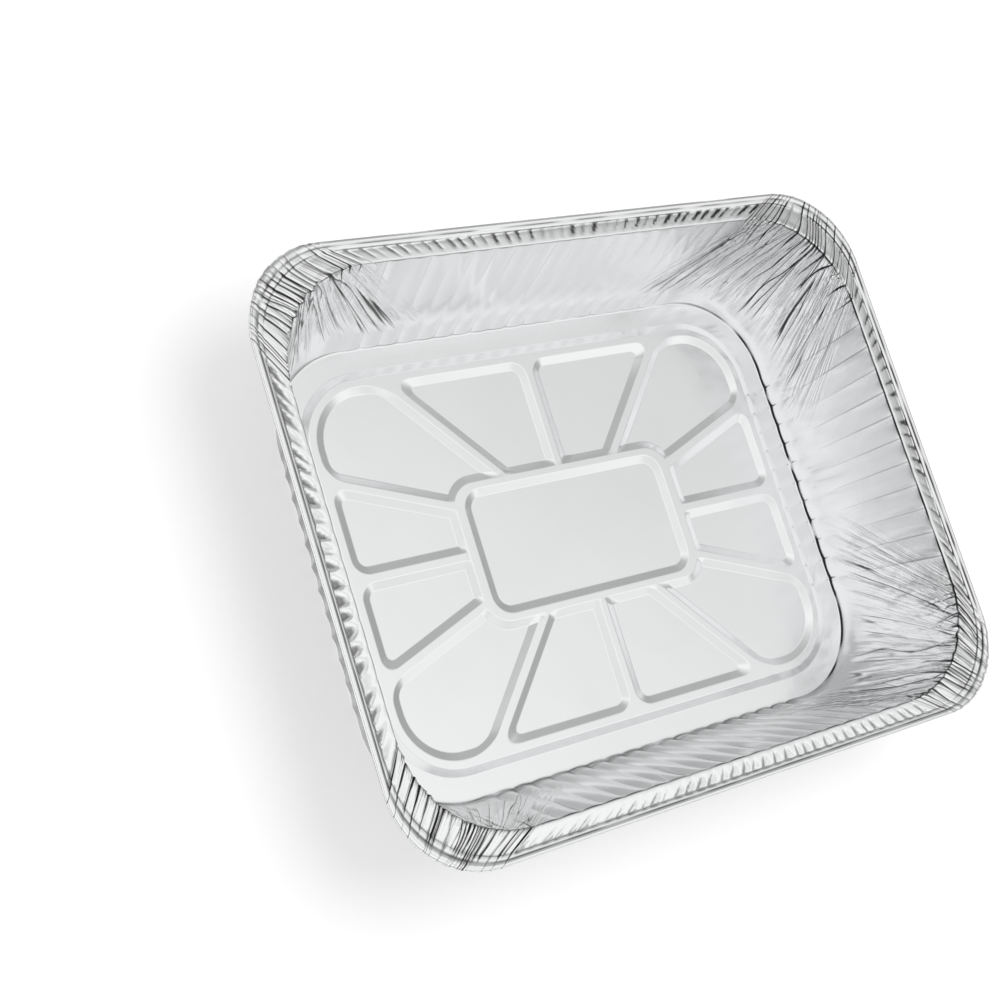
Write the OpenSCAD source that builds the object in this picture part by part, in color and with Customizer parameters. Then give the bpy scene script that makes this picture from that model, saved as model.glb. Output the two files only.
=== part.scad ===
// Foil roasting pan, half-size format. One sheet of aluminium foil is pressed into a ribbed
// base, a fluted wall, a wide crimped flange and a curled rim.
// Millimetres. The origin is under the middle of the base, +X is along the length, +Z is up.

/* [Rim] */
// Length over the curled rim
rim_l = 326; // [300:1:350]
// Width over the curled rim
rim_w = 262; // [240:1:290]
// Corner radius of the curled rim, outside
rim_r = 40; // [34:1:52]
// Height from the base to the top of the curl
pan_h = 65; // [50:1:80]
// Outside diameter of the curl
curl_d = 2.6; // [2.2:0.1:3.4]
// How far round the curl goes, in degrees
curl_turn = 255; // [225:5:270]

/* [Flange] */
// Width of the crimped band, from the crest of the wall outward
band_out = 6.6; // [5:0.1:9]
// How far the crimped band drops from the crest to its outer edge
band_drop = 1; // [0.4:0.1:1.6]
// Depth of the crimps pressed into the band
crimp_depth = 0.9; // [0.4:0.1:1.4]
// Width of the step from the band up to the lip
step_w = 0.9; // [0.6:0.1:1.4]
// Width from the step to the middle of the curl
lip_w = 2.6; // [2:0.1:4]
// How far the crest lies below the top of the curl
crest_drop = 1; // [0.6:0.1:2]

/* [Wall] */
// Length of the base, at the foot of the wall
base_l = 271; // [250:1:280]
// Width of the base, at the foot of the wall
base_w = 207; // [190:1:216]
// Corner radius at the foot of the wall
base_r = 42; // [36:1:48]
// Corner radius at the crest of the wall
crest_r = 48; // [40:1:54]
// Distance from one flute of the wall to the next
flute_pitch = 10; // [8:0.5:14]
// Depth of a flute, from its ridge to its valley
flute_depth = 1.3; // [0.6:0.1:2]
// Height at which the flutes have their full depth
flute_low = 7; // [4:1:12]
// How far below the crest the flutes start to fade
flute_fade = 9; // [5:1:14]
// Number of pleats gathered in each corner
pleats = 7; // [5:1:9]
// Depth of a pleat below the crest
pleat_depth = 1.8; // [0.8:0.1:2.4]

/* [Base] */
// Height of the ribs that are pressed up in the base
rib_h = 1.3; // [0.8:0.1:2]
// Width of the sloping side of a rib
bevel_w = 4.3; // [3:0.1:5]
// Flat top width of a rib between two panels
rib_top = 3; // [2:0.1:4]
// Width of the flat band between the wall and the ribs
band_w = 10.2; // [8:0.1:14]
// Flat top width of the rib that frames the panels
frame_top = 2.9; // [2:0.1:5]
// Outer corner radius of the framing rib
frame_r = 34; // [30:1:38]
// Length of the plain centre panel
panel_l = 104; // [90:1:116]
// Width of the plain centre panel
panel_w = 51.4; // [44:0.2:58]
// Flat top width of the rib at the ends of the centre panel
panel_rib_end = 4.1; // [3:0.1:6]
// Flat top width of the rib along the sides of the centre panel
panel_rib_side = 2.6; // [2:0.1:4]
// Corner radius of the centre panel
panel_r = 6; // [4:0.5:9]
// Outer corner radius of the rib round the centre panel
panel_rib_r = 16; // [12:0.5:20]
// Corner radius of the panels
pad_r = 4; // [2:0.5:5]
// Direction of the steep diagonal ribs, in degrees from the length
steep_angle = 49.4; // [47:0.1:52]
// Distance from the middle to where the steep ribs meet the length's centre line
steep_x = 3; // [0:0.1:5]
// Direction of the shallow diagonal ribs, in degrees from the length
shallow_angle = 20.8; // [19:0.1:23]
// Distance from the middle to where the shallow ribs meet the length's centre line
shallow_x = -0.9; // [-3:0.1:2]

/* [Foil] */
// Thickness of the foil
foil_t = 0.1; // [0.08:0.01:0.2]

/* [Hidden] */

// Outline of the crest, inside the band, the step, the lip and the curl
rim_step = band_out + step_w + lip_w + curl_d / 2;
crest_l = rim_l - 2 * rim_step;
crest_w = rim_w - 2 * rim_step;
crest_z = pan_h - crest_drop;
wall_run = (crest_l - base_l) / 2;

// Share of a flute's depth left at the foot and at the crest, and of a pleat's there, in the
// band and on the lip
foot_share = 0.45;
crest_share = 0.35;
fold_share = [0.6, 0.5, 0.1];

// Width over which the wall's sheet and the base's sheet lie in one another
lap = 3;

// Flutes on side j of the pan: 0 front, 1 right, 2 back, 3 left
function flutes(j) = round(((j % 2 == 0 ? base_l : base_w) - 2 * base_r) / flute_pitch);

// A wave that is flat where a side meets a corner, then swings out and in by turns
function swing(i) = i == 0 ? 0 : (i % 2 == 1 ? 1 : -1);

// Columns round the pan: side number, 0 on a straight or 1 on a corner, share of the way, swing
columns = [for (j = [0:3]) each concat(
    [for (i = [0:2 * flutes(j) - 1]) [j, 0, i / (2 * flutes(j)), swing(i)]],
    [for (i = [0:2 * pleats - 1]) [j, 1, i / (2 * pleats), swing(i)]]
)];

// Half length, half width and corner radius at a share of the wall's run, moved out by o.
// Beyond the crest the corner radius goes over to that of the rim.
function outline(share, o) = [
    base_l / 2 + share * (crest_l - base_l) / 2 + o,
    base_w / 2 + share * (crest_w - base_w) / 2 + o,
    share < 1 ? base_r + share * (crest_r - base_r) + o
        : crest_r + (rim_r - crest_r) * o / rim_step
];

// Direction that column c faces
function facing(c) = let (a = -90 + 90 * c[0] + (c[1] == 1 ? 90 * c[2] : 0)) [cos(a), sin(a)];

// Point of outline s on column c
function at(s, c) = let (
    out = [sin(90 * c[0]), -cos(90 * c[0])],
    along = [cos(90 * c[0]), sin(90 * c[0])],
    reach = c[0] % 2 == 0 ? s[1] : s[0],
    half = (c[0] % 2 == 0 ? s[0] : s[1]) - s[2]
) (c[1] == 0
    ? out * reach + along * half * (2 * c[2] - 1)
    : out * (reach - s[2]) + along * half + facing(c) * s[2]);

// Section of the pressed foil, inner face, from the base up to the free end of the curl.
// A row holds the share of the wall's run, the offset out, the height, and the depths there
// of the flutes, of the pleats and of the crimps.
curl_angles = [90, 45, 0, -55, -110, 90 - curl_turn];
curl_mid_o = band_out + step_w + lip_w;
curl_mid_z = pan_h - curl_d / 2;
section = concat(
    [
        [0, -lap, foil_t, 0, 0, 0],
        [0, 0, foil_t, flute_depth * foot_share, 0, 0],
        [flute_low / crest_z, 0, flute_low, flute_depth, pleat_depth * flute_low / crest_z, 0],
        [1 - flute_fade / crest_z, 0, crest_z - flute_fade, flute_depth, pleat_depth, 0],
        [1, 0, crest_z, flute_depth * crest_share, pleat_depth * fold_share[0], 0],
        [1, band_out, crest_z - band_drop, 0, pleat_depth * fold_share[1], crimp_depth],
        [1, band_out + step_w, crest_z, 0, pleat_depth * fold_share[2], 0]
    ],
    [for (a = curl_angles) [
        1,
        curl_mid_o + cos(a) * curl_d / 2,
        curl_mid_z + sin(a) * curl_d / 2,
        0,
        0,
        0
    ]]
);

// The section as a plane curve, the direction across the foil in each of its stretches, and
// the way from a row on the inner face to the same row on the outer one, for foil 1 thick
flat_section = [for (r = section) [r[0] * wall_run + r[1], r[2]]];
last_row = len(section) - 1;
function crossing(i) = let (v = flat_section[i + 1] - flat_section[i]) [v[1], -v[0]] / norm(v);
function across(i) = let (
    before = crossing(max(i - 1, 0)),
    after = crossing(min(i, last_row - 1))
) (before + after) / (1 + before * after);

// One ring of points: row i of the section, on the inner face or pushed through the foil.
// Flutes and pleats swing level in the wall, and across the foil in the flange.
function ring(i, through) = let (r = section[i], sway = r[0] < 1 ? [1, 0] : across(i)) [
    for (c = columns) let (
        depth = c[1] == 0 ? r[3] + r[5] : r[4],
        n = across(i) * through * foil_t + sway * c[3] * depth / 2,
        p = at(outline(r[0], r[1] + n[0]), c)
    ) [p[0], p[1], r[2] + n[1]]
];

// The wall with its flutes and pleats, the flange with its crimps and the curl, as one skin.
// Both faces are parted into triangles along the same diagonals, so they keep their distance.
module wall_and_rim() {
    rows = len(section);
    cols = len(columns);
    points = concat(
        [for (i = [0:rows - 1]) each ring(i, 0)],
        [for (i = [rows - 1:-1:0]) each ring(i, 1)]
    );
    faces = [for (i = [0:2 * rows - 1], k = [0:cols - 1]) let (
        i2 = (i + 1) % (2 * rows),
        k2 = (k + 1) % cols,
        a = i * cols + k,
        b = i * cols + k2,
        c = i2 * cols + k2,
        d = i2 * cols + k
    ) each (i < rows ? [[a, c, d], [a, b, c]] : [[a, b, d], [b, c, d]])];
    polyhedron(points = points, faces = faces, convexity = 10);
}

// Sizes of the base's pattern, worked out from the foot of the wall inward
frame_l = base_l - 2 * band_w;
frame_w = base_w - 2 * band_w;
pads_l = frame_l - 2 * (2 * bevel_w + frame_top);
pads_w = frame_w - 2 * (2 * bevel_w + frame_top);
pads_r = frame_r - 2 * bevel_w - frame_top;
hub_l = panel_l + 2 * (2 * bevel_w + panel_rib_end);
hub_w = panel_w + 2 * (2 * bevel_w + panel_rib_side);
rib_half = rib_top / 2 + bevel_w;
far = rim_l;
block_h = 1;
over = 0.2;
skin = 0.01;

module rounded(l, w, r) {
    offset(r = r, $fn = 24) square([l - 2 * r, w - 2 * r], center = true);
}

// Everything to the left of a rib: x is where its line meets the centre line, a its angle
module left_of_rib(x, a) {
    translate([x, 0]) rotate(a) translate([-far, rib_half]) square([2 * far, far]);
}

// Everything to the right of a rib
module right_of_rib(x, a) {
    translate([x, 0]) rotate(a) translate([-far, -far - rib_half]) square([2 * far, far]);
}

// Floors of the three panels of one quarter: along the side, in the corner, at the end.
// They run on under the hub, which is pressed over their inner ends.
module side_floor() {
    intersection() {
        left_of_rib(steep_x, steep_angle);
        translate([rib_half, panel_w / 2]) square([far, pads_w / 2 - panel_w / 2]);
    }
}

module corner_floor() {
    intersection() {
        right_of_rib(steep_x, steep_angle);
        left_of_rib(shallow_x, shallow_angle);
        rounded(pads_l, pads_w, pads_r);
    }
}

module end_floor() {
    intersection() {
        right_of_rib(shallow_x, shallow_angle);
        translate([panel_l / 2, rib_half]) square([pads_l / 2 - panel_l / 2, far]);
    }
}

// A panel's hollow in the press form: its floor, and its sides that slope up to the ribs
module hollow(r) {
    hull() {
        linear_extrude(skin) offset(r = r, $fn = 12) offset(delta = -r) children();
        translate([0, 0, rib_h + over]) linear_extrude(skin)
            offset(delta = bevel_w * (1 + over / rib_h))
            offset(r = r, $fn = 12) offset(delta = -r) children();
    }
}

// A flat-topped mound in the press form, sloping down on all sides
module mound(l, w, r) {
    hull() {
        translate([0, 0, -block_h]) linear_extrude(block_h) rounded(l, w, r);
        linear_extrude(rib_h) rounded(l - 2 * bevel_w, w - 2 * bevel_w, r - bevel_w);
    }
}

// The press form under the base: the framing mound with the hollows of the twelve panels,
// the hub over their inner ends with the hollow of the centre panel, and a block below
module press_form() {
    difference() {
        union() {
            difference() {
                mound(frame_l, frame_w, frame_r);
                for (mx = [0, 1], my = [0, 1]) mirror([mx, 0, 0]) mirror([0, my, 0]) {
                    hollow(pad_r) side_floor();
                    hollow(pad_r) corner_floor();
                    hollow(pad_r) end_floor();
                }
            }
            mound(hub_l, hub_w, panel_rib_r);
        }
        hollow(panel_r) square([panel_l, panel_w], center = true);
    }
    translate([-far / 2, -far / 2, -2 * block_h]) cube([far, far, 2 * block_h]);
}

// The base: what lies between the press form and the same form one foil thickness higher
module base_sheet() {
    difference() {
        intersection() {
            translate([0, 0, foil_t]) press_form();
            translate([0, 0, -block_h]) linear_extrude(block_h + rib_h + 1)
                rounded(base_l - lap, base_w - lap, base_r - lap / 2);
        }
        press_form();
    }
}

module pan() {
    color("silver") union() {
        wall_and_rim();
        base_sheet();
    }
}

pan();
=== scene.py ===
"""Foil roasting pan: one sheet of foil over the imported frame, with floor, light and camera.

Lengths are in millimetres until a mesh is made, and the axes are those of the frame. The sides
are numbered 0 front (-Y), 1 right, 2 back and 3 left, and each side is followed by the corner of
the same number. A row of the sheet is given as its share of the wall's run (0 on the base, 1 from
the crest on), its offset outwards from there, and its height. Its level is its distance up the
sheet from the wall's foot.
"""
import math

import bpy
import numpy as np
from mathutils import Matrix, Vector
from mathutils.geometry import delaunay_2d_cdt


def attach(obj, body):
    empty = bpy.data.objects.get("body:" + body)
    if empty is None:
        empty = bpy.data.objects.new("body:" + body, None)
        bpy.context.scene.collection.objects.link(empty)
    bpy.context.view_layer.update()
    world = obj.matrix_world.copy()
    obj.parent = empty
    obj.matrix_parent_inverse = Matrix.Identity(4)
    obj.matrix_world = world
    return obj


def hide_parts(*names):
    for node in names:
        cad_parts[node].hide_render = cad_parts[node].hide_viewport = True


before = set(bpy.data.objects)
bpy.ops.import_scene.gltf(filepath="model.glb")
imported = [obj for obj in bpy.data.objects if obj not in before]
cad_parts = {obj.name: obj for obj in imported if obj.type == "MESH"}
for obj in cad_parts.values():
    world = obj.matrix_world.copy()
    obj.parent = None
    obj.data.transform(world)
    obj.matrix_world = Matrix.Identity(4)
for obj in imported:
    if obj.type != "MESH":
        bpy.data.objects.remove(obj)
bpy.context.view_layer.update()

# Sizes of the pan, as in the source
RIM_L, RIM_R, PAN_H = 326.0, 40.0, 65.0
CURL_D, BAND_OUT, STEP_W, LIP_W, CREST_DROP = 2.6, 6.6, 0.9, 2.6, 1.0
BASE_L, BASE_W, BASE_R, CREST_R = 271.0, 207.0, 42.0, 48.0
FLUTE_DEPTH, FLUTE_PITCH, PLEATS = 1.3, 10.0, 22
RIB_H, BEVEL_W, RIB_TOP, BAND_W, FRAME_TOP, FRAME_R = 1.3, 4.3, 3.0, 10.2, 2.9, 34.0
PANEL_L, PANEL_W, PANEL_RIB_END, PANEL_RIB_SIDE = 104.0, 51.4, 4.1, 2.6
PANEL_R, PANEL_RIB_R, PAD_R = 6.0, 16.0, 4.0
STEEP_ANGLE, STEEP_X, SHALLOW_ANGLE, SHALLOW_X = 49.4, 3.0, 20.8, -0.9
FOIL_T = 0.1

RIM_STEP = BAND_OUT + STEP_W + LIP_W + CURL_D / 2
CREST_Z = PAN_H - CREST_DROP
WALL_RUN = (RIM_L - 2 * RIM_STEP - BASE_L) / 2
FLUTES = [round((length - 2 * BASE_R) / FLUTE_PITCH) for length in (BASE_L, BASE_W)] * 2
FLUTES_ON = np.array(FLUTES)

# Columns of the mesh for each flute of the wall and of the rim, and for each pleat
WALL_COLUMNS, RIM_COLUMNS, FOLD_COLUMNS = 6, 12, 5
# Places of a flute's columns between its valleys
FLUTE_KNOTS = (0.0, 0.07, 0.25, 0.5, 0.75, 0.93, 1.0)
# A pleat's fold: half its width, that half's limit as a share of the pleat, and the distance of
# its shoulder in halves
FOLD_HALF, FOLD_MOST, FOLD_SHOULDER = 0.46, 0.2, 2.4
# How far the first row lies before the wall's foot, and the level of the crest
FOOT_LEVEL, CREST_LEVEL = 3.3, 66.0
# Places of the corners' creases and of the base on the sheet's UV map
CORNER_UV, BASE_UV = 400.0, (2000.0, 500.0)


def smooth(x, low, high):
    """A soft step from 0 at low to 1 at high."""
    t = np.clip((x - low) / (high - low), 0.0, 1.0)
    return t * t * (3 - 2 * t)


# Places in plan, and the columns of the mesh round the pan

def corner_radius(share):
    """Radius of the wall's corners."""
    return BASE_R + share * (CREST_R - BASE_R)


def half_side(side, share):
    """Half the length of a side with its corners."""
    return np.where(side % 2 == 0, BASE_L / 2, BASE_W / 2) + share * WALL_RUN


def plan_places(side, corner, along, share, out):
    """Plan positions of the points of one row."""
    half_l = BASE_L / 2 + share * WALL_RUN + out
    half_w = BASE_W / 2 + share * WALL_RUN + out
    below = corner_radius(share) + out
    beyond = CREST_R + (RIM_R - CREST_R) * out / RIM_STEP
    radius = np.where(share < 1, below, beyond)
    turn = side * math.pi / 2
    lead = np.where(side % 2 == 0, half_w, half_l)
    reach = np.where(side % 2 == 0, half_l, half_w) - radius
    angle = -math.pi / 2 + turn + np.where(corner, along * math.pi / 2, 0.0)
    facing = np.stack([np.cos(angle), np.sin(angle)], -1)
    outward = np.stack([np.sin(turn), -np.cos(turn)], -1)
    onward = np.stack([np.cos(turn), np.sin(turn)], -1)
    straight = outward * lead[..., None] + onward * (reach * (2 * along - 1))[..., None]
    bend = (outward * (lead - radius)[..., None] + onward * reach[..., None]
            + facing * radius[..., None])
    return np.where(corner[..., None], bend, straight)


def make_columns(per_flute):
    """Columns round the pan: side, whether in a corner, share of the way, place in a pleat."""
    side, corner, along, fold = [], [], [], []
    for j in range(4):
        n, m = per_flute * FLUTES[j], FOLD_COLUMNS * PLEATS
        side += [j] * (n + m)
        corner += [False] * n + [True] * m
        along += list(np.arange(n) / n) + list(np.arange(m) / m)
        fold += [-1] * n + list(range(FOLD_COLUMNS)) * PLEATS
    return np.array(side), np.array(corner), np.array(along), np.array(fold)


# The pleats of the four corners
PLEAT_RNG = np.random.RandomState(7)
PLEAT_TABLE = (4, PLEATS)
PLEAT_GAP = (PLEAT_RNG.choice([0.35, 0.7, 1.1, 1.9, 2.8], PLEAT_TABLE,
                              p=[0.25, 0.25, 0.2, 0.2, 0.1])
             * PLEAT_RNG.uniform(0.8, 1.2, PLEAT_TABLE))
PLEAT_DEPTH = PLEAT_RNG.uniform(0.35, 1.1, PLEAT_TABLE)
PLEAT_TILT = PLEAT_RNG.uniform(-1.0, 1.0, PLEAT_TABLE)
PLEAT_LENGTH = PLEAT_RNG.choice([7.0, 12.0, 20.0, 34.0, 70.0], PLEAT_TABLE,
                                p=[0.3, 0.3, 0.22, 0.13, 0.05])
PLEAT_WAVE = PLEAT_RNG.uniform(0.6, 1.6, PLEAT_TABLE)
PLEAT_PHASE = PLEAT_RNG.uniform(0, 2 * math.pi, PLEAT_TABLE)
# How dark the painted shade in each pleat's fold is
PLEAT_DARK = PLEAT_RNG.uniform(0.45, 1.5, PLEAT_TABLE)
# How much the gaps between the folds sway low down, how much more at the crest, and how fast
SWAY_LOW, SWAY_MORE, SWAY_RATE = 0.1, 0.18, 0.16


def pleat_numbers(corner):
    """The pleat that each column of a corner belongs to, and 0 for the other columns."""
    index = np.zeros(len(corner), int)
    index[corner] = np.tile(np.repeat(np.arange(PLEATS), FOLD_COLUMNS), 4)
    return index


def pleat_places(level):
    """Where each fold lies along its corner at one level, as shares of the corner."""
    sway = SWAY_LOW + SWAY_MORE * smooth(level, 44.0, 64.0)
    gap = PLEAT_GAP * (1 + sway * np.sin(level * PLEAT_WAVE * SWAY_RATE + PLEAT_PHASE))
    total = np.cumsum(gap, axis=1)
    return (total - gap / 2) / total[:, -1:]


def corner_columns(side, corner, along, fold, level, arc):
    """Moves the columns of the corners on to the folds of the pleats at one level."""
    moved = along.copy()
    places = pleat_places(level)
    following = np.concatenate([places[:, 1:], np.ones((4, 1))], axis=1)
    pleat = side[corner], pleat_numbers(corner)[corner]
    here = places[pleat]
    gap = following[pleat] - here
    half = np.minimum(FOLD_HALF / arc, FOLD_MOST * gap)
    shoulder = FOLD_SHOULDER * half
    kind = fold[corner]
    moved[corner] = np.select([kind == n for n in range(FOLD_COLUMNS)],
                              [here - half, here, here + half, here + shoulder,
                               here + gap - shoulder])
    return moved


def valley_columns(side, corner, along, amount):
    """Moves the columns of the straights towards the valleys of the flutes."""
    count = FLUTES_ON[side]
    whole = np.floor(along * count + 1e-9)
    part = along * count - whole
    moved = np.interp(part, np.linspace(0, 1, len(FLUTE_KNOTS)), FLUTE_KNOTS)
    return np.where(corner, along, (whole + part + (moved - part) * amount) / count)


# Section of the wall and rim

def wall_section():
    """Rows from the base up to the crest: share of the run, offset out, height."""
    rows = [(0.0, -3.2, FOIL_T), (0.0, -2.0, FOIL_T), (0.0, -1.1, FOIL_T), (0.0, -0.45, 0.13),
            (0.0, -0.12, 0.34)]
    for z in (0.8, 1.6, 2.9, 4.7, 7.0, 9.8, 13.0, 16.5, 20.0, 23.5, 27.0, 30.5, 34.0, 37.5, 41.0,
              44.5, 48.0, 51.0, 54.0, 56.5, 59.0, 61.0, 62.6):
        rows.append((z / CREST_Z, 0.0, z))
    return rows


def rim_section():
    """Rows from the crest out over the band, the step, the lip and the curl."""
    rows = [(1.0, -0.08, CREST_Z - 0.45), (1.0, 0.18, CREST_Z - 0.08), (1.0, 0.7, CREST_Z + 0.02)]
    for out, drop in ((1.9, 0.03), (3.2, 0.09), (4.6, 0.18), (5.8, 0.32), (6.6, 0.48)):
        rows.append((1.0, out, CREST_Z - drop))
    rows += [(1.0, 7.05, CREST_Z - 0.28), (1.0, 7.5, CREST_Z), (1.0, 8.2, CREST_Z + 0.12)]
    mid_out, mid_z = BAND_OUT + STEP_W + LIP_W, PAN_H - CURL_D / 2
    for degrees in (162, 118, 74, 25, -35, -90, -145):
        a = math.radians(degrees)
        rows.append((1.0, mid_out + math.cos(a) * CURL_D / 2, mid_z + math.sin(a) * CURL_D / 2))
    return rows


def section_points(rows):
    """Rows of the section as points: distance out from the wall's foot, height."""
    return np.array([(share * WALL_RUN + out, z) for share, out, z in rows])


def section_lengths(flat):
    """Distance of each point of a section from its first, along the section."""
    return np.concatenate([[0.0], np.cumsum(np.linalg.norm(np.diff(flat, axis=0), axis=1))])


def row_normals(rows, before, after):
    """Unit directions across the sheet at each row, towards the inside of the pan."""
    flat = section_points(rows)
    first = section_points([before]) if before else flat[:1]
    last = section_points([after]) if after else flat[-1:]
    whole = np.concatenate([first, flat, last])
    run = whole[2:] - whole[:-2]
    across = np.stack([-run[:, 1], run[:, 0]], -1)
    return across / np.linalg.norm(across, axis=1, keepdims=True)


WALL = wall_section()
RIM = rim_section()

# Relief of the wall and rim. The tables have one value for each side, in the order of their
# numbers. First how dark the painted shade of the folds is, in the band, pleats, flutes, foot
# and crest
CRIMP_DARK = np.array([0.15, 0.55, 0.58, 0.45])
FOLD_BOLD = np.array([0.4, 0.5, 0.7, 0.6])
FLUTE_DARK = np.array([0.3, 0.34, 0.14, 0.14])
FOOT_DARK = (0.5, 1.0, 0.3, 0.5)
CREST_DARK = (0.8, 1.0, 0.3, 0.75)
# Then how deep the band's dents, the flutes and the creases are, and how wide the dents
CRIMP_DEEP = np.array([0.9, 1.0, 1.0, 1.3])
FLUTE_DEEP = np.array([1.0, 0.8, 0.5, 1.0])
CREASE_DEEP = (1.9, 0.85, 1.4, 1.0)
CRIMP_WIDE = np.array([1.0, 1.2, 1.1, 2.1])

# Lines of folds painted dark as shade: row of the section, seed, and strength on the four sides
LINES = (
    (WALL[4], 1.0, FOOT_DARK),
    (WALL[5], 1.0, (0.4, 0.95, 0.1, 0.2)),
    (WALL[6], 6.0, (0.34, 0.2, 0.0, 0.1)),
    (WALL[7], 6.5, (0.3, 0.0, 0.0, 0.0)),
    (WALL[8], 7.0, (0.24, 0.0, 0.0, 0.0)),
    (RIM[0], 2.0, CREST_DARK),
    (RIM[8], 3.0, (0.35, 0.8, 0.5, 0.45)),
    (RIM[11], 4.0, (0.5, 0.75, 0.5, 0.5)),
    (RIM[14], 5.0, (0.0, 0.4, 0.75, 0.0)),
    (RIM[15], 8.0, (0.6, 0.3, 0.3, 0.45)),
)

# Uneven flutes, and the dents of the band, two to a flute
MOST_FLUTES = 24
MOST_CRIMPS = 2 * MOST_FLUTES
SIDE_RNG = np.random.RandomState(21)
FLUTE_SIZE = SIDE_RNG.uniform(0.6, 1.25, (4, MOST_FLUTES))
CRIMP_SIZE = SIDE_RNG.uniform(0.45, 1.2, (4, MOST_CRIMPS))
CRIMP_SHIFT = SIDE_RNG.uniform(-0.16, 0.16, (4, MOST_CRIMPS))
CRIMP_HALF = SIDE_RNG.uniform(1.0, 2.1, (4, MOST_CRIMPS))
# Where the dents start on the band, the width that they widen over, and their least width
CRIMP_START, CRIMP_SPAN, LEAST = 0.6, 5.4, 1e-3

# Layers of creases: strength, seed, number of waves, and their shortest and longest period
CREASE_LAYERS = ((0.95, 100, 3, 5.0, 9.0), (0.45, 200, 3, 2.4, 4.0))
# How far they reach from a corner at the crest, how much further at the foot, and how much their
# fan opens there
CREASE_REACH, CREASE_MORE, FAN_OPENS = 34.0, 34.0, 1.5


def flute_relief(side, along, z):
    """Flutes of the wall's straights, and the painted shade in their valleys."""
    count = FLUTES_ON[side]
    phase = along * count
    index = np.clip(np.round(phase).astype(int), 0, MOST_FLUTES - 1)
    ends = smooth(along * count, 0.0, 0.7) * smooth((1 - along) * count, 0.0, 0.7)
    ridge = (np.sin(math.pi * phase) ** 2 + 0.004) ** 0.35
    size = FLUTE_SIZE[side, index]
    middle = smooth(z, 8.0, 26.0) * (1 - smooth(z, 34.0, 52.0))
    reach = (0.8 + 0.2 * smooth(z, 0.5, 7.0)) * (1 - 0.5 * middle)
    reach = reach * (1 - 0.3 * smooth(z, 58.0, CREST_Z))
    valley = np.exp(-((phase - np.round(phase)) / 0.04) ** 2) * smooth(z, 0.3, 1.2)
    foot = 1.6 * (1 - smooth(z, 1.5, 5.0))
    high = smooth(z, 12.0, 24.0) * (1 - 0.35 * middle)
    dark = valley * ends * size * (foot + high) * FLUTE_DARK[side]
    return FLUTE_DEPTH * size * FLUTE_DEEP[side] * reach * ends * (ridge - 0.7), dark


def crimp_relief(side, along, out, straight_mm):
    """Dents of the band, and the painted shade of their folds.

    They are wedges, widest at the band's outer edge. On the right and back they are flatter bars.
    """
    count = FLUTES_ON[side] * 2
    total, dent_shade = np.zeros_like(along), np.zeros_like(along)
    phase = along * count - 0.5 + 0.055 * out
    barred = (side == 1) | (side == 2)
    wide = CRIMP_WIDE[side] * np.where(side == 2, 1.35 - 0.7 * along, 1.0)
    taper = max((out - CRIMP_START) / CRIMP_SPAN, LEAST) ** np.where(barred, 0.4, 1.0)
    for step in (0, 1):
        k = np.floor(phase).astype(int) + step
        inside = (k >= 0) & (k < count)
        index = np.clip(k, 0, MOST_CRIMPS - 1)
        size = CRIMP_SIZE[side, index]
        x = (phase - k - CRIMP_SHIFT[side, index]) * straight_mm / count
        half = np.maximum(CRIMP_HALF[side, index] * wide * taper, LEAST)
        dent = np.clip(1 - np.abs(x) / half, 0, 1)
        deep = 0.95 * CRIMP_DEEP[side] * size * (1 - smooth(out, 6.7, 7.5))
        deep = deep * np.where(barred, 0.35 * smooth(out, 0.6, 2.4), smooth(out, 0.6, 5.6))
        total -= np.where(inside, np.minimum(dent * 1.8, 1.0) * deep, 0.0)
        dent_shade_here = smooth(dent, 0.25, 0.6) * smooth(size, 0.3, 0.75)
        dent_shade_here = dent_shade_here * np.where(barred, smooth(out, 1.6, 3.2), smooth(out, 2.0, 4.6))
        dent_shade += np.where(inside, dent_shade_here * (1 - smooth(out, 6.7, 7.3)), 0.0)
    dark = CRIMP_DARK[side] * np.where(side == 2, 1.05 - 0.2 * along, 1.0)
    return total, np.clip(dent_shade * dark, 0, 1)


def facets(across, up, seed, count, low, high):
    """Sharp-edged folds along lines of constant place: uneven triangle waves, -1 to 1."""
    rng = np.random.RandomState(seed)
    total, weight = np.zeros_like(across), 0.0
    for _ in range(count):
        period = rng.uniform(low, high)
        a, b, c, d = rng.uniform(0, 2 * math.pi, 4)
        swing = np.sin(up * 0.13 + a + across * 0.07) + 0.6 * np.sin(up * 0.31 + b)
        bend = 0.3 * period * np.sin(across * 0.9 / period + c) + 0.15 * up * rng.uniform(-1, 1)
        phase = (across + 0.22 * period * swing + bend) / period + d
        fade = 0.55 + 0.45 * np.sin(across * 0.35 / period + up * 0.06 + d * 3)
        total += (np.abs(phase - np.floor(phase) - 0.5) * 4 - 1) * period * fade
        weight += period
    return total / weight


def under_crest(level):
    """How far a level is below the crest, as a share of the wall."""
    return np.clip(1 - level / CREST_LEVEL, 0, 1)


def crease_place(side, corner, along, share, level):
    """The nearest corner, the place on its fan of creases, and how far the point is from it."""
    radius = corner_radius(share)
    arc, straight = radius * math.pi / 2, 2 * (half_side(side, share) - radius)
    before = ~corner & (along >= 0.5)
    on_straight = np.where(before, (along - 1) * straight - arc / 2, along * straight + arc / 2)
    across = np.where(corner, (along - 0.5) * arc, on_straight)
    turn = np.where(corner | before, side, side - 1) % 4
    return turn, across / (1 + FAN_OPENS * under_crest(level)), np.abs(across)


def crease_relief(turn, fan, near, level):
    """Creases that fan out from each corner's crest, over the corner and into the straights."""
    creased = np.zeros_like(fan)
    for k in range(4):
        field = sum(strength * facets(fan, level, seed + k, count, low, high)
                    for strength, seed, count, low, high in CREASE_LAYERS)
        creased = np.where(turn == k, field * CREASE_DEEP[k], creased)
    body = smooth(level, 4.0, 16.0) * (1 - 0.8 * smooth(level, 63.0, 67.0))
    return creased * near * body * (0.5 + 0.5 * smooth(level, 10.0, 55.0))


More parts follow.
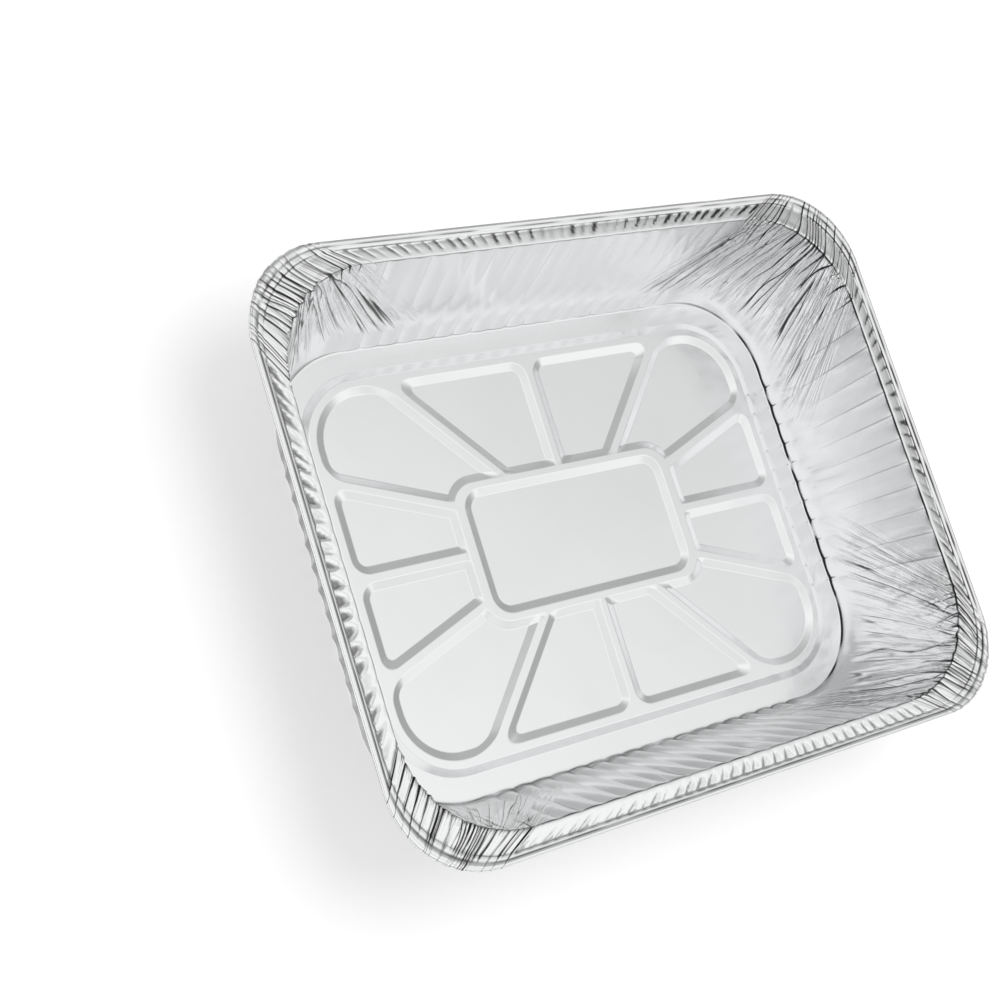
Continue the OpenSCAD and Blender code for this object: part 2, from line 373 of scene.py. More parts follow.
def pleat_relief(side, corner, along, fold, level):
    """Pleats gathered in the corners, and the painted shade of their folds."""
    pleat = side, pleat_numbers(corner)
    tilt, darkness = PLEAT_TILT[pleat], PLEAT_DARK[pleat]
    below = np.exp(-np.maximum(CREST_LEVEL - level, 0.0) / PLEAT_LENGTH[pleat])
    below = below * smooth(level, 2.0, 12.0)
    on_rim = np.interp(level, [CREST_LEVEL, 68.0, 71.9, 73.2, 74.6, 76.0],
                       [1.0, 0.7, 0.75, 0.35, 0.2, 0.2])
    size = PLEAT_DEPTH[pleat] * below * on_rim
    valley = np.select([fold == n for n in range(FOLD_COLUMNS)],
                       [0.05 + 0.1 * tilt, -0.9 + 0 * tilt, 0.05 - 0.1 * tilt,
                        0.25 - 0.2 * tilt, 0.25 + 0.2 * tilt], 0.0)
    edge = smooth(np.minimum(along, 1 - along), 0.0, 0.02)
    push = np.where(corner, valley * size * 0.8 * edge, 0.0)

    # Painted shade where a fold is closed, with short painted dark ticks that go on out to the lip
    on_wall = 1 - smooth(level, 60.0, 66.0)
    shut_shade = smooth(size, 0.06 + 0.1 * on_wall, 0.3 + 0.3 * on_wall) * darkness
    ticks = 0.32 * smooth(level, 71.5, 73.0) * smooth(darkness, 0.7, 1.1)
    shut_shade = np.maximum(shut_shade, ticks)
    swell = np.clip(0.35 + np.sin(level * 0.4 + PLEAT_PHASE[pleat]), 0.0, 1.0)
    bold = FOLD_BOLD[side] * swell
    fold_shade = np.maximum(np.where(corner & (fold == 1), shut_shade, 0.0),
                       np.where(corner & (fold == 2), shut_shade * bold, 0.0))
    return push, fold_shade


def relief(side, corner, along, fold, share, out, z, level):
    """How far the sheet is pushed inwards, the painted shade of its folds there, and how gathered.
    """
    straight = 2 * (half_side(side, share) + out - corner_radius(share))
    flat = smooth(out, -0.6, -0.1) if share == 0 else 1.0
    flutes, valleys = flute_relief(side, along, z)
    push = np.where(corner, 0.0, flutes) * (1 - smooth(level, 63.0, 66.5)) * flat
    dents, dent_shade = crimp_relief(side, along, out, straight)
    push = push + np.where(corner | (share < 1), 0.0, dents)
    fold_shade = np.where(corner, 0.0, dent_shade if share >= 1 else valleys)

    turn, fan, away = crease_place(side, corner, along, share, level)
    reach = CREASE_REACH + CREASE_MORE * under_crest(level)
    near = 1 - smooth(away, reach * 0.8, reach * 1.35)
    push = push + crease_relief(turn, fan, near, level)

    pleats, shut_shade = pleat_relief(side, corner, along, fold, level)
    gather = (near * smooth(level, 3.0, 26.0) * (1 - 0.7 * smooth(level, 65.0, 67.5))
              * (1 - smooth(level, 72.0, 74.0)))
    return push + pleats, np.maximum(fold_shade, shut_shade), gather


LINE_RNG = np.random.RandomState(5)
LINE_WAVES = [(LINE_RNG.uniform(0.02, 0.5), LINE_RNG.uniform(0, 2 * math.pi)) for _ in range(7)]
# A side with its corner counts as this length, and its straight as this share of it
LINE_LENGTH, STRAIGHT_SHARE = 235.0, 0.72
# Painted shade on the outside face, with painted light and dark stripes on the flutes that lean
# a little: flutes to a millimetre up
OUTSIDE_SHADE, STRIPE_SHADE, STRIPE_LEAN = 0.4, 0.07, 0.006


def line_strength(side, corner, along, seed):
    """How dark the painted shade of a line of folds is along the pan: broken and uneven."""
    way = np.where(corner, STRAIGHT_SHARE + (1 - STRAIGHT_SHARE) * along, STRAIGHT_SHARE * along)
    where = (side + way) * LINE_LENGTH
    total = sum(math.cos(seed * (i + 1)) * np.sin(where * rate + phase + seed)
                for i, (rate, phase) in enumerate(LINE_WAVES))
    return np.clip(0.85 + 0.22 * total, 0.2, 1.0)


def sheet_rows(rows, per_flute, before, after, first_level):
    """Rings of points for rows of the section, with the values of each point.

    The values are the painted shade of the sheet's folds, how gathered it is, its place on the UV
    map, and the painted shade of its outside face.
    """
    side, corner, along, fold = make_columns(per_flute)
    next_side = (side + 1) % 4
    levels = first_level + section_lengths(section_points(rows))
    points, fold_shade, gather, places, outside = [], [], [], [], []
    for row, normal, level in zip(rows, row_normals(rows, before, after), levels):
        share, out, z = row
        arc = corner_radius(share) * math.pi / 2
        ways = corner_columns(side, corner, along, fold, level, arc)
        ways = valley_columns(side, corner, ways, 1 - smooth(level, 66.3, 69.5))
        push, painted_shade, crimp = relief(side, corner, ways, fold, share, out, z, level)
        # Painted shade along the lines of folds listed in LINES
        for line_row, seed, dark in LINES:
            if row == line_row:
                here, ahead = np.array(dark)[side], np.array(dark)[next_side]
                amount = np.where(corner, here + (ahead - here) * ways, here)
                painted_shade = np.maximum(painted_shade, amount * line_strength(side, corner, ways, seed))
        lift = push * normal[1] if share >= 1 else push * 0.0
        shift = push * normal[0] if share >= 1 else -push
        plan = plan_places(side, corner, ways, share, out + shift)
        points.append(np.column_stack([plan, z + lift]))
        fold_shade.append(painted_shade)
        gather.append(crimp)
        turn, fan, _ = crease_place(side, corner, ways, share, level)
        places.append(np.column_stack([CORNER_UV * turn + fan, np.full(len(ways), level)]))
        # Painted shade on the outside face of the wall, lighter and darker in stripes along the
        # flutes
        flute = np.sin(2 * math.pi * (ways * FLUTES_ON[side] + STRIPE_LEAN * z))
        stripe = STRIPE_SHADE * np.sign(flute) * np.sqrt(np.abs(flute))
        shade = np.where(corner, OUTSIDE_SHADE, OUTSIDE_SHADE + stripe)
        outside.append(shade if share < 1 and z > 0.5 else 0.0 * shade)
    return [np.array(values) for values in (points, fold_shade, gather, places, outside)]


# The base

def round_box(x, y, length, width, radius):
    """Signed distance to a rounded rectangle, negative inside."""
    dx = np.abs(x) - (length / 2 - radius)
    dy = np.abs(y) - (width / 2 - radius)
    outside = np.hypot(np.maximum(dx, 0), np.maximum(dy, 0))
    return outside + np.minimum(np.maximum(dx, dy), 0) - radius


def rounded_max(a, b, radius):
    """The larger of two distances, with their outer corner rounded."""
    u, v = np.maximum(a + radius, 0), np.maximum(b + radius, 0)
    return np.minimum(-radius, np.maximum(a, b)) + np.hypot(u, v)


FRAME_BOX = (BASE_L - 2 * BAND_W, BASE_W - 2 * BAND_W, FRAME_R)
PADS_L = FRAME_BOX[0] - 2 * (2 * BEVEL_W + FRAME_TOP)
PADS_W = FRAME_BOX[1] - 2 * (2 * BEVEL_W + FRAME_TOP)
PADS_R = FRAME_R - 2 * BEVEL_W - FRAME_TOP
PANEL_BOX = (PANEL_L, PANEL_W, PANEL_R)
HUB_BOX = (PANEL_L + 2 * (2 * BEVEL_W + PANEL_RIB_END),
           PANEL_W + 2 * (2 * BEVEL_W + PANEL_RIB_SIDE), PANEL_RIB_R)
RIB_HALF = RIB_TOP / 2 + BEVEL_W
# A point inside each of the three pads of a quarter: side, corner and end
PAD_CENTRES = ((25.0, 62.0), (85.0, 55.0), (95.0, 20.0))
# Where a rib's side starts and ends, as distances from the pad's edge, and the lines of the mesh
# along both bends
BEVEL_FOOT, BEVEL_HEAD = 0.3, 4.0
BEND_LINES = (BEVEL_FOOT - 0.3, BEVEL_FOOT, BEVEL_FOOT + 0.3,
              BEVEL_HEAD - 0.3, BEVEL_HEAD, BEVEL_HEAD + 0.45)
# How far the pads' lines go on inside the hub
HUB_OVERLAP = 6.0
# How a line is found: rays from its centre, their length, and how often they are halved
RAYS, RAY_LENGTH, HALVINGS = 1440, 180.0, 30
# From one point of a line to the next: millimetres, and radians of turn
LINE_STEP, LINE_TURN = 7.0, 0.22
# Loose points of the base: their spacing, the cells that keep them off the lines, their reach
# along x and y, and their distance from the wall
BASE_GRID, LINE_CELL, GRID_X, GRID_Y, WALL_MARGIN = 10.0, 4.0, 130, 98, 5.0


def rib_offset(x, y, at, degrees):
    """Distance to the left of a diagonal rib's line."""
    a = math.radians(degrees)
    return -(x - at) * math.sin(a) + y * math.cos(a)


def quarter_pads(x, y):
    """Signed distances to the three pads of the quarter where x and y are positive."""
    steep = rib_offset(x, y, STEEP_X, STEEP_ANGLE)
    shallow = rib_offset(x, y, SHALLOW_X, SHALLOW_ANGLE)
    outer = round_box(x, y, PADS_L, PADS_W, PADS_R)
    side = rounded_max(rounded_max(RIB_HALF - steep, RIB_HALF - x, PAD_R), y - PADS_W / 2, PAD_R)
    corner = rounded_max(rounded_max(steep + RIB_HALF, RIB_HALF - shallow, PAD_R), outer, PAD_R)
    end = rounded_max(rounded_max(shallow + RIB_HALF, RIB_HALF - y, PAD_R), x - PADS_L / 2, PAD_R)
    return side, corner, end


def slope(distance):
    """Height of a rib's side, as a share, at a distance from the pad's edge."""
    return np.clip((distance - BEVEL_FOOT) / (BEVEL_HEAD - BEVEL_FOOT), 0.0, 1.0)


def base_height(x, y):
    """Height of the upper face of the base."""
    panel = slope(round_box(x, y, *PANEL_BOX))
    hub = slope(-round_box(x, y, *HUB_BOX))
    ring = slope(-round_box(x, y, *FRAME_BOX))
    for distance in quarter_pads(np.abs(x), np.abs(y)):
        ring = np.minimum(ring, slope(distance))
    return FOIL_T + RIB_H * np.minimum(panel, np.maximum(hub, ring))


def outline(field, centre, level):
    """Points round the closed line where a field has a level, closest where the line turns."""
    angles = np.linspace(0, 2 * math.pi, RAYS, endpoint=False)
    way = np.column_stack([np.cos(angles), np.sin(angles)])
    near, far = np.zeros(RAYS), np.full(RAYS, RAY_LENGTH)
    for _ in range(HALVINGS):
        middle = (near + far) / 2
        inside = field(centre[0] + way[:, 0] * middle, centre[1] + way[:, 1] * middle) < level
        near, far = np.where(inside, middle, near), np.where(inside, far, middle)
    points = np.array(centre) + way * near[:, None]
    run = np.roll(points, -1, axis=0) - points
    heading = np.arctan2(run[:, 1], run[:, 0])
    turn = np.abs((np.roll(heading, -1) - heading + math.pi) % (2 * math.pi) - math.pi)
    cost = np.cumsum(np.hypot(run[:, 0], run[:, 1]) / LINE_STEP + turn / LINE_TURN)
    count = int(cost[-1])
    return points[np.searchsorted(cost, cost[-1] * np.arange(count) / count)]


def rib_lines():
    """The lines that the base's shape bends along: closed, with the part that counts of each."""
    found = []
    for level in BEND_LINES:
        for k, centre in enumerate(PAD_CENTRES):
            line = outline(lambda x, y: quarter_pads(x, y)[k], centre, level)
            shown = round_box(line[:, 0], line[:, 1], *HUB_BOX) > -HUB_OVERLAP
            found += [(line * (sx, sy), shown) for sx in (1, -1) for sy in (1, -1)]
        for box, sign in ((PANEL_BOX, 1), (HUB_BOX, -1), (FRAME_BOX, -1)):
            line = outline(lambda x, y: round_box(x, y, *box), (0.0, 0.0), sign * level)
            found.append((line, np.ones(len(line), bool)))
    return found


def base_mesh(boundary):
    """Triangles of the base inside the loop of the wall's foot, along the lines of its ribs.

    Returns the points, the faces, and the numbers that each point had on the way in.
    """
    n = len(boundary)
    points, edges = [tuple(p) for p in boundary], [(i, (i + 1) % n) for i in range(n)]
    taken = set()
    for line, shown in rib_lines():
        count = len(line)
        number = len(points) + np.cumsum(shown) - 1
        for k in range(count):
            if shown[k]:
                points.append(tuple(line[k]))
                taken.add((int(line[k][0] // LINE_CELL), int(line[k][1] // LINE_CELL)))
                if shown[(k + 1) % count]:
                    edges.append((int(number[k]), int(number[(k + 1) % count])))
    for x in np.arange(-GRID_X, GRID_X + 1, BASE_GRID):
        for y in np.arange(-GRID_Y, GRID_Y + 1, BASE_GRID):
            cell = int(x // LINE_CELL), int(y // LINE_CELL)
            clear = all((cell[0] + i, cell[1] + j) not in taken
                        for i in (-1, 0, 1) for j in (-1, 0, 1))
            if clear and round_box(x, y, BASE_L, BASE_W, BASE_R) < -WALL_MARGIN:
                points.append((x, y))
    result = delaunay_2d_cdt([Vector(p) for p in points], edges, [], 1, 1e-6)
    return result[0], result[2], result[3]


# The sheet as one mesh

def ring_quads(start, count, rows):
    """Quads between rings of the same number of points."""
    return [(start + r * count + k, start + (r + 1) * count + k,
             start + (r + 1) * count + (k + 1) % count, start + r * count + (k + 1) % count)
            for r in range(rows - 1) for k in range(count)]


def seam_faces(last, n_wall, rim_0, n_rim):
    """Faces from the wall's columns to the rim's, which are twice as many on the straights."""
    faces = []
    i = k = 0
    for j in range(4):
        for _ in range(WALL_COLUMNS * FLUTES[j]):
            i2, k1, k2 = (i + 1) % n_wall, k + 1, (k + 2) % n_rim
            faces.append((last + i, rim_0 + k, rim_0 + k1))
            faces.append((last + i, rim_0 + k1, last + i2))
            faces.append((last + i2, rim_0 + k1, rim_0 + k2))
            i, k = i + 1, k + 2
        for _ in range(FOLD_COLUMNS * PLEATS):
            i2, k2 = (i + 1) % n_wall, (k + 1) % n_rim
            faces.append((last + i, rim_0 + k, rim_0 + k2, last + i2))
            i, k = i + 1, k + 1
    return faces


def build_sheet():
    """The upper face of the sheet: the values of its points, its faces and its outer edge."""
    lengths = section_lengths(section_points(WALL + RIM))
    wall = sheet_rows(WALL, WALL_COLUMNS, None, RIM[0], -FOOT_LEVEL)
    rim = sheet_rows(RIM, RIM_COLUMNS, WALL[-1], None, lengths[len(WALL)] - FOOT_LEVEL)
    n_wall, n_rim = wall[0].shape[1], rim[0].shape[1]
    rim_0 = n_wall * len(WALL)
    faces = ring_quads(0, n_wall, len(WALL)) + ring_quads(rim_0, n_rim, len(RIM))
    faces += seam_faces(rim_0 - n_wall, n_wall, rim_0, n_rim)

    # The base joins the wall's lowest row
    base_verts, base_faces, origin = base_mesh(wall[0][0, :, :2])
    number, extra = [], []
    next_free = rim_0 + n_rim * len(RIM)
    for v, came in zip(base_verts, origin):
        ring = [c for c in came if c < n_wall]
        if ring:
            number.append(ring[0])
        else:
            number.append(next_free + len(extra))
            extra.append((v.x, v.y))
    for face in base_faces:
        faces.append(tuple(number[v] for v in face))
    extra = np.array(extra)
    none = np.zeros(len(extra))
    base = (np.column_stack([extra, base_height(extra[:, 0], extra[:, 1])]), none, none,
            extra + BASE_UV, none)

    rows = [[values.reshape(-1, *values.shape[2:]) for values in part] for part in (wall, rim)]
    values = [np.concatenate(parts) for parts in zip(*rows, base)]
    return values, faces, rim_0 + n_rim * (len(RIM) - 1) + np.arange(n_rim)


def split_faces(points, faces):
    """The faces as triangles, quads along their shorter diagonal."""
    a, b, c, d = np.array([f for f in faces if len(f) == 4]).T
    one = np.linalg.norm(points[a] - points[c], axis=1)
    other = np.linalg.norm(points[b] - points[d], axis=1)
    short = (one <= other)[:, None]
    first = np.where(short, np.stack([a, b, c], -1), np.stack([a, b, d], -1))
    second = np.where(short, np.stack([a, c, d], -1), np.stack([b, c, d], -1))
    return np.concatenate([np.array([f for f in faces if len(f) == 3]), first, second])


def vertex_normals(points, faces):
    """Normals of a mesh of triangles, weighted by area."""
    total = np.zeros_like(points)
    a = points[faces[:, 0]]
    cross = np.cross(points[faces[:, 1]] - a, points[faces[:, 2]] - a)
    for c in range(3):
        np.add.at(total, faces[:, c], cross)
    return total / np.maximum(np.linalg.norm(total, axis=1, keepdims=True), 1e-12)


def make_pan():
    """The pan as a closed shell: the sheet's upper face, its lower face and its edge."""
    (points, fold_shade, gather, uv, outside), faces, edge = build_sheet()
    faces = split_faces(points, faces)
    under = points - vertex_normals(points, faces) * FOIL_T
    under[:, 2] = np.maximum(under[:, 2], 0.0)
    n = len(points)
    a, b = edge, np.roll(edge, -1)
    whole = np.concatenate([faces, n + faces[:, ::-1],
                            np.stack([a, n + a, n + b], -1), np.stack([a, n + b, b], -1)])
    mesh = bpy.data.meshes.new("foil_pan")
    mesh.from_pydata(np.concatenate([points, under]) / 1000.0, [], whole.tolist())
    # The lower face takes the painted shade of the outside where it is darker than the folds'
    # painted shade
    for name, values in (("fold_shade", np.concatenate([fold_shade, np.maximum(fold_shade, outside)])),
                         ("gather", np.concatenate([gather, gather]))):
        layer = mesh.attributes.new(name, "FLOAT", "POINT")
        layer.data.foreach_set("value", values)
    loops = np.empty(len(mesh.loops), int)
    mesh.loops.foreach_get("vertex_index", loops)
    layer = mesh.uv_layers.new(name="sheet")
    layer.data.foreach_set("uv", (np.concatenate([uv, uv])[loops] / 1000.0).ravel())
    mesh.polygons.foreach_set("use_smooth", np.ones(len(mesh.polygons), bool))
    mesh.update()
    pan_object = bpy.data.objects.new("foil_pan", mesh)
    bpy.context.collection.objects.link(pan_object)
    return pan_object


# Nodes

def nodes_of(owner):
    """The emptied node tree of a material or world."""
    owner.use_nodes = True
    owner.node_tree.nodes.clear()
    return owner.node_tree


def add(tree, kind, **values):
    """A node with its settings and, after in_, the values of its inputs."""
    node = tree.nodes.new(kind)
    for key, value in values.items():
        if key.startswith("in_"):
            node.inputs[key[3:].replace("_", " ")].default_value = value
        else:
            setattr(node, key, value)
    return node


def plug(tree, value, socket):
    """Links an output to a socket, or sets the socket to a number or colour."""
    if isinstance(value, bpy.types.NodeSocket):
        tree.links.new(value, socket)
    else:
        socket.default_value = value


def ramp(tree, source, stops):
    """A colour ramp over a source, from stops of position and grey or colour."""
    node = tree.nodes.new("ShaderNodeValToRGB")
    elements = node.color_ramp.elements
    elements[0].position, elements[1].position = stops[0][0], stops[-1][0]
    for position, _ in stops[1:-1]:
        elements.new(position)
    for element, (_, value) in zip(elements, stops):
        element.color = (value, value, value, 1) if np.isscalar(value) else (*value, 1)
    tree.links.new(source, node.inputs[0])
    return node.outputs[0]


def compute(tree, operation, a, b=None):
    """A sum, product or other operation on one or two numbers."""
    node = add(tree, "ShaderNodeMath", operation=operation)
    plug(tree, a, node.inputs[0])
    if b is not None:
        plug(tree, b, node.inputs[1])
    return node.outputs[0]


def mix(tree, blend_type, a, b, factor=1.0):
    """Two colours blended by a factor."""
    node = add(tree, "ShaderNodeMix", data_type="RGBA", blend_type=blend_type)
    for value, place in ((factor, 0), (a, 6), (b, 7)):
        plug(tree, value, node.inputs[place])
    return node.outputs[2]


def mix_shader(tree, factor, a, b):
    """The first shader where the factor is 0, and the second where it is 1."""
    node = tree.nodes.new("ShaderNodeMixShader")
    for value, socket in zip((factor, a, b), node.inputs):
        tree.links.new(value, socket)
    return node.outputs[0]


def noise(tree, vector, scale, detail, twist=0.0):
    """A noise texture over a vector."""
    node = add(tree, "ShaderNodeTexNoise", in_Scale=scale, in_Detail=detail, in_Distortion=twist)
    tree.links.new(vector, node.inputs["Vector"])
    return node.outputs[0]


def bump(tree, height, distance):
    """A bump of full strength over a height."""
    node = add(tree, "ShaderNodeBump", in_Strength=1.0, in_Distance=distance)
    tree.links.new(height, node.inputs["Height"])
    return node


# The foil. Its UV map is stretched along the creases, and two noises of scale, detail and twist
# give the folds
CREASE_STRETCH = (300.0, 9.0, 1.0)
CREASE_NOISES = ((1.0, 0.8, 0.35), (2.3, 0.5, 0.25))
WANDER_SCALE, CLOUD_SCALE, SLOW_SCALE = 0.6, 14.0, 40.0
# Dull and bright tones of the foil at random, and the colour of the painted shade in its folds
FOIL_DULL, FOIL_BRIGHT, FOLD_SHADE_COLOUR = (0.9, 0.905, 0.91), (0.935, 0.94, 0.945), (0.025, 0.025, 0.027)
CRINKLE_HEIGHT, SLOW_HEIGHT = 0.003, 0.00012


def foil_material():
    """Satin rolled aluminium, with painted shade in its folds and crease lines, and crinkled where
    it is gathered.
    """
    material = bpy.data.materials.new("rolled_foil")
    tree = nodes_of(material)
    link = tree.links.new
    out = add(tree, "ShaderNodeOutputMaterial")
    shader = add(tree, "ShaderNodeBsdfPrincipled", in_Metallic=1.0)
    link(shader.outputs[0], out.inputs[0])
    uv = add(tree, "ShaderNodeUVMap", uv_map="sheet").outputs[0]
    # The painted shade of the folds, and how gathered the sheet is
    fold_shade = add(tree, "ShaderNodeAttribute", attribute_name="fold_shade").outputs["Fac"]
    gather = add(tree, "ShaderNodeAttribute", attribute_name="gather").outputs["Fac"]
    point = add(tree, "ShaderNodeTexCoord").outputs["Object"]

    # Long flowing folds along the creases: sharp lines where a stretched noise crosses its middle.
    # Where the sheet is gathered they are painted dark as shade, and they also make its bumps
    stretch = add(tree, "ShaderNodeMapping", in_Scale=CREASE_STRETCH)
    link(uv, stretch.inputs[0])
    stretched = stretch.outputs[0]
    wander = noise(tree, stretched, WANDER_SCALE, 2.0)
    fields = [noise(tree, stretched, *kind) for kind in CREASE_NOISES]
    folds = [compute(tree, "ABSOLUTE", compute(tree, "SUBTRACT", field, 0.5)) for field in fields]
    line = ramp(tree, folds[0], [(0.0, 1.0), (0.008, 0.8), (0.018, 0.0)])
    thin = ramp(tree, folds[1], [(0.0, 0.35), (0.025, 0.0)])
    broken = ramp(tree, wander, [(0.42, 0.0), (0.52, 1.0)])
    other = ramp(tree, wander, [(0.44, 1.0), (0.52, 0.0)])
    line = compute(tree, "MAXIMUM", compute(tree, "MULTIPLY", line, broken),
                   compute(tree, "MULTIPLY", thin, other))
    line = compute(tree, "MULTIPLY", line, ramp(tree, gather, [(0.25, 0.0), (0.8, 1.0)]))
    painted_fold_shade = compute(tree, "MAXIMUM", ramp(tree, fold_shade, [(0.1, 0.0), (0.6, 1.0)]), line)

    # Colour: bright satin aluminium, clouded a little, with painted shade in the tightest folds
    # and crease lines
    cloud = noise(tree, point, CLOUD_SCALE, 3.0)
    tone = ramp(tree, cloud, [(0.3, FOIL_DULL), (0.7, FOIL_BRIGHT)])
    link(mix(tree, "MULTIPLY", tone, (*FOLD_SHADE_COLOUR, 1), painted_fold_shade), shader.inputs["Base Color"])
    link(ramp(tree, cloud, [(0.35, 0.15), (0.65, 0.2)]), shader.inputs["Roughness"])

    # Relief: fine crinkles where the sheet is gathered, and slow unevenness elsewhere
    fine = compute(tree, "MULTIPLY", folds[1], 0.4)
    crinkle = compute(tree, "MULTIPLY", compute(tree, "ADD", folds[0], fine), gather)
    crinkled = bump(tree, crinkle, CRINKLE_HEIGHT)
    uneven = bump(tree, noise(tree, point, SLOW_SCALE, 2.0), SLOW_HEIGHT)
    link(crinkled.outputs[0], uneven.inputs["Normal"])
    link(uneven.outputs[0], shader.inputs["Normal"])
    return material


# The floor: its grey and its own glow where it is seen, and its grey for other light
FLOOR_SEEN, FLOOR_GLOW, FLOOR_PLAIN = (0.6, 0.6, 0.6, 1), 0.5, (0.8, 0.8, 0.8, 1)
WHITE = (1, 1, 1, 1)


def floor_material():
    """A pale floor that shows white in the open and keeps the pan's shadow."""
    material = bpy.data.materials.new("pale_floor")
    tree = nodes_of(material)
    link = tree.links.new
    out = add(tree, "ShaderNodeOutputMaterial")
    matt = add(tree, "ShaderNodeBsdfDiffuse", in_Color=FLOOR_SEEN)
    lift = add(tree, "ShaderNodeEmission", in_Color=WHITE, in_Strength=FLOOR_GLOW)
    both = add(tree, "ShaderNodeAddShader")
    link(matt.outputs[0], both.inputs[0])
    link(lift.outputs[0], both.inputs[1])
    path = add(tree, "ShaderNodeLightPath").outputs
    seen = compute(tree, "MAXIMUM", path["Is Camera Ray"], path["Is Glossy Ray"])
    seen = compute(tree, "MAXIMUM", seen, path["Is Transmission Ray"])
    plain = add(tree, "ShaderNodeBsdfDiffuse", in_Color=FLOOR_PLAIN)
    link(mix_shader(tree, seen, plain.outputs[0], both.outputs[0]), out.inputs[0])
    return material


# Light, floor and camera. The studio's brightness is the least of three ramps, over the share of
# the way to its dark side, over x, and over y with an open left side, and it falls off low down
DARK_SIDE = Vector((0.75, 0.6, 0.28)).normalized()
STUDIO_TONE = [(0.2, 1.5), (0.38, 1.26), (0.5, 0.92), (0.6, 0.8), (0.67, 0.84), (0.71, 1.0),
               (0.76, 1.06), (0.79, 0.96), (0.8, 0.93), (0.82, 0.9), (0.85, 0.84), (0.862, 0.785),
               (0.88, 0.755), (0.9, 0.74), (0.93, 0.7), (0.945, 0.54), (0.957, 0.46),
               (0.975, 0.43), (1.0, 0.4)]
STUDIO_RIGHT = [(0.68, 1.0), (0.72, 0.72), (0.76, 0.58), (0.82, 0.46), (0.9, 0.4)]
STUDIO_BACK = [(0.3, 1.0), (0.4, 0.75), (0.49, 0.5), (0.6, 0.47), (0.9, 0.5)]
STUDIO_LEFT = [(0.24, 0.0), (0.4, 1.0)]
STUDIO_LOW = [(0.0, 0.04), (0.06, 0.14), (0.12, 0.4), (0.2, 0.78), (0.28, 0.98), (0.35, 1.0),
              (1.0, 1.0)]
# Uneven patches of the studio, and how far up they show
PATCH_SCALE, PATCH_TONE, PATCH_HEIGHT = 2.6, [(0.4, 0.55), (0.56, 1.0)], [(0.1, 1.0), (0.42, 0.0)]
SOFT_LIGHT = 0.62

# Metres, and watts for the lamp. The lamp shines from a direction, far from the pan
FLOOR_SIZE, FLOOR_Z = 4.0, -0.0004
LAMP_SIZE, LAMP_POWER, LAMP_FAR = 2.0, 37.0, 3.0
LAMP_FROM = Vector((0.2, 0.05, 0.97)).normalized()

# The camera as fitted to the photograph: its place and its axes
CAMERA_AT = (-0.43072, -0.09919, 0.64318)
CAMERA_RIGHT, CAMERA_UP = (0.838273, -0.294971, 0.458574), (0.175248, 0.942165, 0.285681)
CAMERA_BACK = (-0.51632, -0.159114, 0.841484)
SENSOR, LENS = 36.0, 60.1


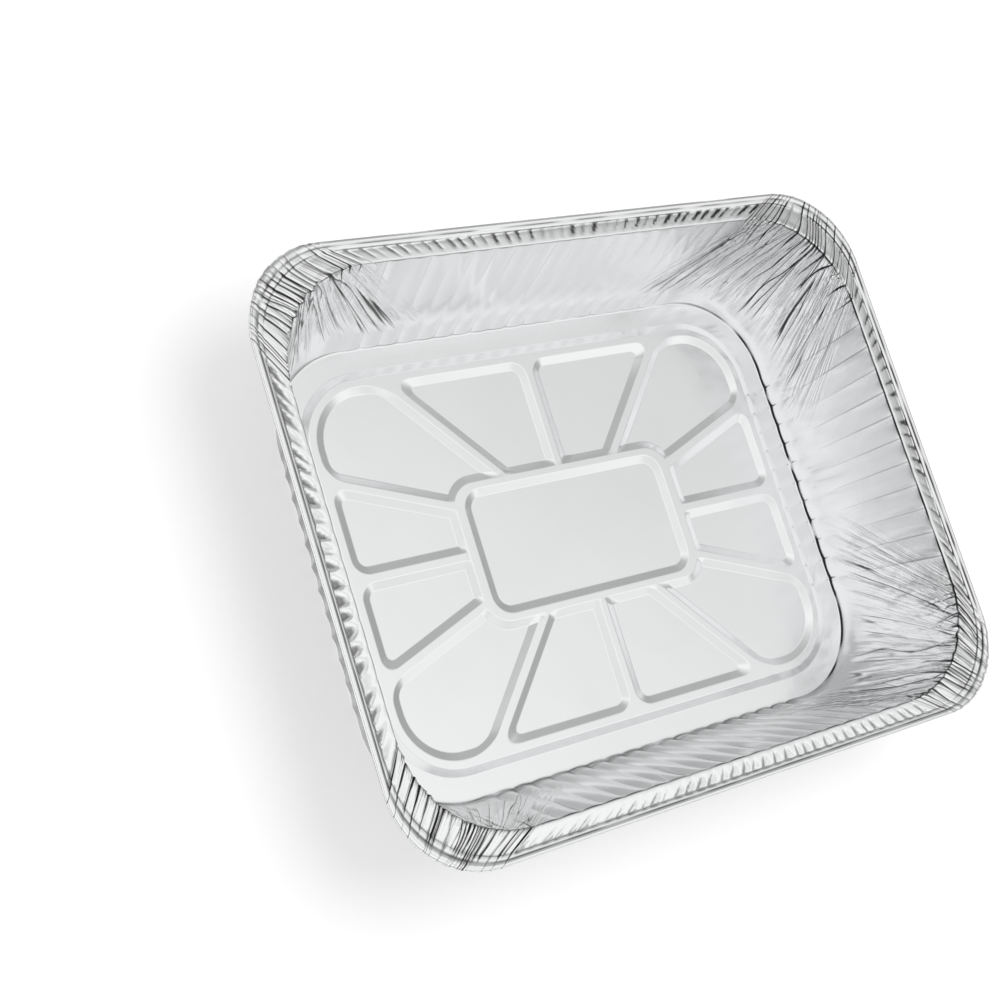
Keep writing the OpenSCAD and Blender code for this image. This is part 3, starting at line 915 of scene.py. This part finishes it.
def make_world():
    """A soft studio: bright overhead, in front and on the left, darker on the far right side."""
    world = bpy.data.worlds.new("studio")
    bpy.context.scene.world = world
    tree = nodes_of(world)
    link = tree.links.new
    out = add(tree, "ShaderNodeOutputWorld")
    way = add(tree, "ShaderNodeTexCoord").outputs["Generated"]
    dot = add(tree, "ShaderNodeVectorMath", operation="DOT_PRODUCT")
    dot.inputs[1].default_value = DARK_SIDE
    link(way, dot.inputs[0])
    share = compute(tree, "MULTIPLY", compute(tree, "ADD", dot.outputs["Value"], 1.0), 0.5)
    parts = add(tree, "ShaderNodeSeparateXYZ")
    link(way, parts.inputs[0])
    x, y, z = parts.outputs
    left = ramp(tree, compute(tree, "MULTIPLY", x, -1.0), STUDIO_LEFT)
    back = mix(tree, "LIGHTEN", ramp(tree, y, STUDIO_BACK), left)
    dim = mix(tree, "DARKEN", ramp(tree, x, STUDIO_RIGHT), back)
    dim = mix(tree, "DARKEN", dim, ramp(tree, share, STUDIO_TONE))
    dim = mix(tree, "MULTIPLY", dim, ramp(tree, z, STUDIO_LOW))
    patches = ramp(tree, noise(tree, way, PATCH_SCALE, 2.0), PATCH_TONE)
    dim = mix(tree, "MULTIPLY", dim, patches, ramp(tree, z, PATCH_HEIGHT))

    # Glossy rays see the studio, the camera sees white, and the rest is soft light
    studio = add(tree, "ShaderNodeBackground", in_Strength=1.0)
    link(dim, studio.inputs[0])
    soft = add(tree, "ShaderNodeBackground", in_Color=WHITE, in_Strength=SOFT_LIGHT)
    white = add(tree, "ShaderNodeBackground", in_Color=WHITE, in_Strength=1.0)
    path = add(tree, "ShaderNodeLightPath").outputs
    lit = mix_shader(tree, path["Is Glossy Ray"], soft.outputs[0], studio.outputs[0])
    seen = compute(tree, "MAXIMUM", path["Is Camera Ray"], path["Is Transmission Ray"])
    link(mix_shader(tree, seen, lit, white.outputs[0]), out.inputs[0])


def make_stage():
    """The floor, and one large soft lamp overhead."""
    bpy.ops.mesh.primitive_plane_add(size=FLOOR_SIZE, location=(0, 0, FLOOR_Z))
    floor = bpy.context.object
    floor.name = "floor"
    floor.data.materials.append(floor_material())
    lamp = bpy.data.lights.new("softbox", "AREA")
    lamp.shape, lamp.size, lamp.energy = "DISK", LAMP_SIZE, LAMP_POWER
    lamp_object = bpy.data.objects.new("softbox", lamp)
    lamp_object.location = LAMP_FROM * LAMP_FAR
    lamp_object.visible_glossy = False
    lamp_object.rotation_euler = LAMP_FROM.to_track_quat("Z", "Y").to_euler()
    bpy.context.collection.objects.link(lamp_object)


def make_camera():
    """The camera at the photograph's viewing angle."""
    camera = bpy.data.cameras.new("camera")
    camera.sensor_width, camera.lens = SENSOR, LENS
    camera.clip_start, camera.clip_end = 0.01, 30.0
    turn = Matrix((CAMERA_RIGHT, CAMERA_UP, CAMERA_BACK)).transposed().to_4x4()
    camera_object = bpy.data.objects.new("camera", camera)
    camera_object.matrix_world = Matrix.Translation(CAMERA_AT) @ turn
    bpy.context.collection.objects.link(camera_object)
    bpy.context.scene.camera = camera_object


make_camera()
make_world()
make_stage()
pan = make_pan()
pan.data.materials.append(foil_material())
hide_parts("pan")
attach(pan, "root")
bpy.context.scene.view_settings.view_transform = "Standard"
